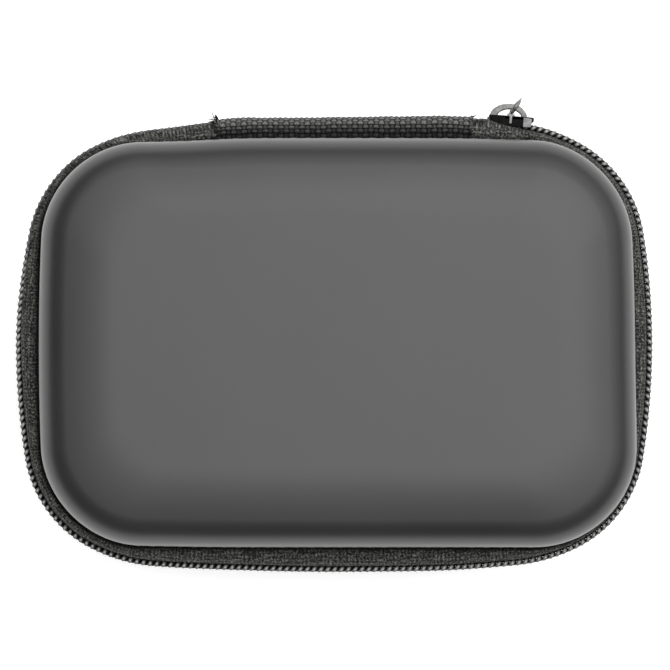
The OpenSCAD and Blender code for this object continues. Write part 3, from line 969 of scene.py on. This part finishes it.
def plate(name, outlines, axes, middle, thick, bevel, steps=3):
    """A flat part with rounded edges and holes: closed outlines in mm in the plane of axes[0] and axes[1],
    centred on middle along axes[2]."""
    curve = bpy.data.curves.new(name, "CURVE")
    curve.dimensions = "2D"
    curve.fill_mode = "BOTH"
    curve.extrude = thick / 2 - bevel
    curve.bevel_depth = bevel
    curve.offset = -bevel
    curve.bevel_resolution = steps
    for outline in outlines:
        run = curve.splines.new("POLY")
        run.points.add(len(outline) - 1)
        run.points.foreach_set("co", [c for x, y in outline for c in (x, y, 0.0, 1.0)])
        run.use_cyclic_u = True
    holder = linked(name, curve)
    bpy.context.view_layer.update()
    mesh = bpy.data.meshes.new_from_object(holder)
    bpy.data.objects.remove(holder)
    move_points(mesh, lambda at: (middle + at @ np.array(axes, float)) * MM)
    bm = bmesh.new()
    bm.from_mesh(mesh)
    bmesh.ops.remove_doubles(bm, verts=bm.verts, dist=1e-6)
    bmesh.ops.recalc_face_normals(bm, faces=bm.faces)
    bm.to_mesh(mesh)
    bm.free()
    mesh.polygons.foreach_set("use_smooth", [True] * len(mesh.polygons))
    mesh.set_sharp_from_angle(angle=math.radians(40))
    return linked(name, mesh)


def join(name, objects):
    bpy.ops.object.select_all(action="DESELECT")
    for o in objects:
        o.select_set(True)
    bpy.context.view_layer.objects.active = objects[0]
    bpy.ops.object.join()
    objects[0].name = name
    return objects[0]


def rounded(points, r, steps=5):
    """A closed outline with its corners rounded."""
    p = np.asarray(points, float)
    out = []
    for a, b, c in zip(np.roll(p, 1, 0), p, np.roll(p, -1, 0)):
        u, v = (a - b) / np.linalg.norm(a - b), (c - b) / np.linalg.norm(c - b)
        d = min(r, np.linalg.norm(a - b) / 2.05, np.linalg.norm(c - b) / 2.05)
        for t in np.linspace(0, 1, steps):
            out.append(b + u * d * (1 - t) ** 2 + v * d * t**2)
    return np.array(out)


def circle(x, y, r):
    turns = np.linspace(0, 2 * math.pi, 28, endpoint=False)
    return [(x + r * math.cos(a), y + r * math.sin(a)) for a in turns]


def slider_plate(name, outlines, out_low, out_high, bevel=0.15):
    """A plate of the slider that lies along the zip and upright, from out_low to out_high outwards."""
    middle = SLIDER_AT + OUT * (out_low + out_high) / 2
    return plate(name, outlines, (ALONG, UP, OUT), middle, out_high - out_low, bevel)


def slider_shelf(name, outlines, z_low, z_high, bevel=0.1):
    """A part of the slider that lies flat, from z_low to z_high above the seam."""
    middle = SLIDER_AT + UP * (z_low + z_high) / 2
    return plate(name, outlines, (ALONG, OUT, UP), middle, z_high - z_low, bevel)


def make_slider():
    nose = [(-4.8, -2.4), (-3.9, -3.8), (-2.2, -4.1), (3.9, -4.1), (5.0, -3.4), (5.0, 3.4), (3.9, 4.1),
            (-2.2, 4.1), (-3.9, 3.8), (-4.8, 2.4)]
    body = [slider_plate("slider_outer", [rounded(nose, 0.9)], 0.35, 1.25, 0.25)]
    inner = rounded([(-4.9, -2.4), (-2.6, -3.6), (4.9, -3.3), (4.9, 3.3), (-2.6, 3.6), (-4.9, 2.4)], 0.8)
    body.append(slider_plate("slider_inner", [inner], -3.8, -2.95, 0.2))
    wedge = rounded([(-4.0, -0.25), (-1.9, -0.25), (-1.6, 0), (-1.9, 0.25), (-4.0, 0.25)], 0.1)
    body.append(slider_plate("slider_wedge", [wedge], -3.1, 0.6, 0.04))
    rail = rounded([(-2.6, -1.0), (2.65, -1.0), (2.65, 1.2), (-4.9, 1.2), (-5.0, 0.85), (-4.2, 0.1)], 0.2)
    body += [slider_shelf("slider_rail", [rail], *z) for z in ((3.5, 4.1), (-4.1, -3.5))]
    cast = join("slider_body_cast", body)
    dress(cast, "slider_dark", "slider", ["slider_body"])
    tail = rounded([(2.6, -1.05), (4.35, -0.95), (4.5, 0.9), (2.6, 1.1)], 0.2)
    tails = [slider_shelf("slider_tail", [tail], *z) for z in ((3.5, 4.25), (-4.25, -3.5))]
    dress(join("slider_tail", tails), "slider_metal", "slider")
    outer = spline([(-4.7, 0), (-4.1, 1.4), (-2.55, 2.5), (-0.7, 2.9), (0.9, 2.8), (2.4, 2.1), (3.4, 0.85),
                    (3.55, 0)], 5)
    hole = spline([(2.35, 0), (2.1, 0.75), (1.1, 1.45), (0.1, 1.7), (-1.2, 1.6), (-2.5, 0.95), (-3.1, 0)], 5)
    arch_outline = np.concatenate([outer, hole]) + [0, 1.2]
    arch = slider_shelf("slider_arch", [arch_outline], -0.8, 0.8, 0.26)
    dress(arch, "slider_metal", "slider", ["slider_bridge"])
    stem = [(-0.42, -0.45), (0.08, -0.45), (0.14, 1.15), (0.65, 1.3), (0.65, 1.6), (-1.05, 1.6), (-1.05, 1.3),
            (-0.48, 1.15)]
    lock = slider_shelf("slider_lock", [rounded(stem, 0.12)], 4.05, 4.35, 0.08)
    dress(lock, "pull_metal", "slider")
    pin = slider_plate("slider_pawl", [circle(-0.4, 0, 0.55)], 1.15, 1.45, 0.12)
    dress(pin, "slider_metal", "slider", ["slider_lock_pin"])


def make_pull():
    """The pull hangs from the arch's sloping bar; its flat lies across the joint's axis."""
    joint = next(j for j in frame["joints"] if j["name"] == "pull_swing")
    axis = np.array(joint["axis"], float)
    wide = np.cross(UP, axis)
    axes = (wide, UP, axis)
    pivot = np.array(joint["pos_m"]) / MM + OUT * 1.1 - ALONG * 0.45
    low = box_mm("pull_tab")[0][2] - SEAM
    half_w = 2.5
    eye = 1.45 * unit(np.linspace(math.radians(-50), math.radians(230), 24))
    end = half_w * unit(np.linspace(math.pi, 2 * math.pi, 18)) + (0, low + half_w)
    left = np.array([(-0.95, -2.6), (-1.3, -3.6), (-half_w, -5.0)])
    outline = np.concatenate([eye, left, end, left[::-1] * (-1, 1)])
    holes = [circle(-0.1, 0, 0.95), circle(0, low + half_w, 1.2)]
    body = plate("pull_body", [outline] + holes, axes, pivot, 0.9, 0.36, 6)
    panel = rounded([(-1.35, -6.2), (1.35, -6.2), (1.35, low + 4.6), (-1.35, low + 4.6)], 0.7)
    line = plate("pull_rib", [panel, panel_hole(panel, 0.3)], axes, pivot, 1.12, 0.05)
    pull = join("pull_tab_cast", [body, line])
    thin_edges(pull.data, pivot, wide, axis, half_w)
    dress(pull, "pull_metal", "pull", ["pull_tab"])


def thin_edges(mesh, pivot, wide, axis, half_w):
    """The plate thins from its middle line out to its long edges, so that it looks pointed from above."""
    def thinned(at):
        local = at / MM - pivot
        share = 0.75 * np.clip(np.abs(local @ wide) / half_w, 0, 1) ** 2
        return at - ((local @ axis) * share)[:, None] * axis * MM

    move_points(mesh, thinned)


def panel_hole(outline, inset):
    """The outline moved in by inset, for a raised line."""
    middle = outline.mean(axis=0)
    half = np.abs(outline - middle).max(axis=0)
    return middle + (outline - middle) * (half - inset) / half


# -------- floor, light and camera

FLOOR_GLOW = 0.43
KEY_POWER = 6.0
TENT_POWER = 1.9
TENT_AXIS = (0.27, 0.33, 1.0)
TENT = [(-0.05, 0.05), (0.04, 0.08), (0.15, 0.08), (0.45, 0.13), (0.72, 0.72), (0.93, 1.03), (1.0, 1.08)]
CAMERA_UP = 700.0  # above the seam
VIEW_WIDE = 147.25  # what the picture takes in across, at the seam
SENSOR = 36.0


def make_stage():
    far = 4000.0
    corners = [(-far, -far, 0), (far, -far, 0), (far, far, 0), (-far, far, 0)]
    floor = mesh_object("floor", corners, [[0, 1, 2, 3]])
    floor.location.z = -0.0003
    mat, shader = new_material("floor", (0.9, 0.9, 0.9), 0.9, specular=0.1)
    shader.inputs["Emission Color"].default_value = (1, 1, 1, 1)
    shader.inputs["Emission Strength"].default_value = FLOOR_GLOW
    bump(shader, noise_at(place_of(shader), 60.0), 0.02, 0.2)
    floor.data.materials.append(mat)


def make_light():
    """A light tent: bright overhead and a little more so to the back right, dark sides, a pale horizon."""
    data = bpy.data.lights.new("overhead", "AREA")
    data.shape = "DISK"
    data.size = 1.2
    data.energy = KEY_POWER
    light = linked("overhead", data)
    light.location = (0.25, 0.25, 1.5)
    light.rotation_euler = (-light.location).to_track_quat("-Z", "Y").to_euler()
    world = bpy.data.worlds.new("studio")
    bpy.context.scene.world = world
    world.use_nodes = True
    background = world.node_tree.nodes["Background"]
    toward = place_of(background, "Generated")
    axis = Vector(TENT_AXIS).normalized()
    level = node(toward, "ShaderNodeVectorMath", {0: toward, 1: axis}, operation="DOT_PRODUCT")
    place = node(toward, "ShaderNodeMapRange", {0: level.outputs["Value"], 1: -1.0, 2: 1.0}).outputs[0]
    background.inputs["Strength"].default_value = TENT_POWER
    feed(background, "Color", ramp(place, [((v + 1) / 2, c) for v, c in TENT]))


def make_camera():
    data = bpy.data.cameras.new("camera")
    data.sensor_width = SENSOR
    data.lens = SENSOR * CAMERA_UP / VIEW_WIDE
    data.clip_start, data.clip_end = 0.01, 20.0
    camera = linked("camera", data)
    camera.location = (0.2 * MM, 2.0 * MM, (SEAM + CAMERA_UP) * MM)
    bpy.context.scene.camera = camera
    bpy.context.scene.view_settings.view_transform = "Standard"


make_camera()
make_light()
make_stage()
linings = {"base": make_shell("base", False), "lid": make_shell("lid", True)}
for half, sign in (("base", -1), ("lid", 1)):
    make_tape(half, sign)
    make_coil(half, sign)
    binding = make_binding(half, sign)
    make_stitches(half, sign)
make_webbing()
make_strap()
make_pocket()
make_slider()
make_pull()
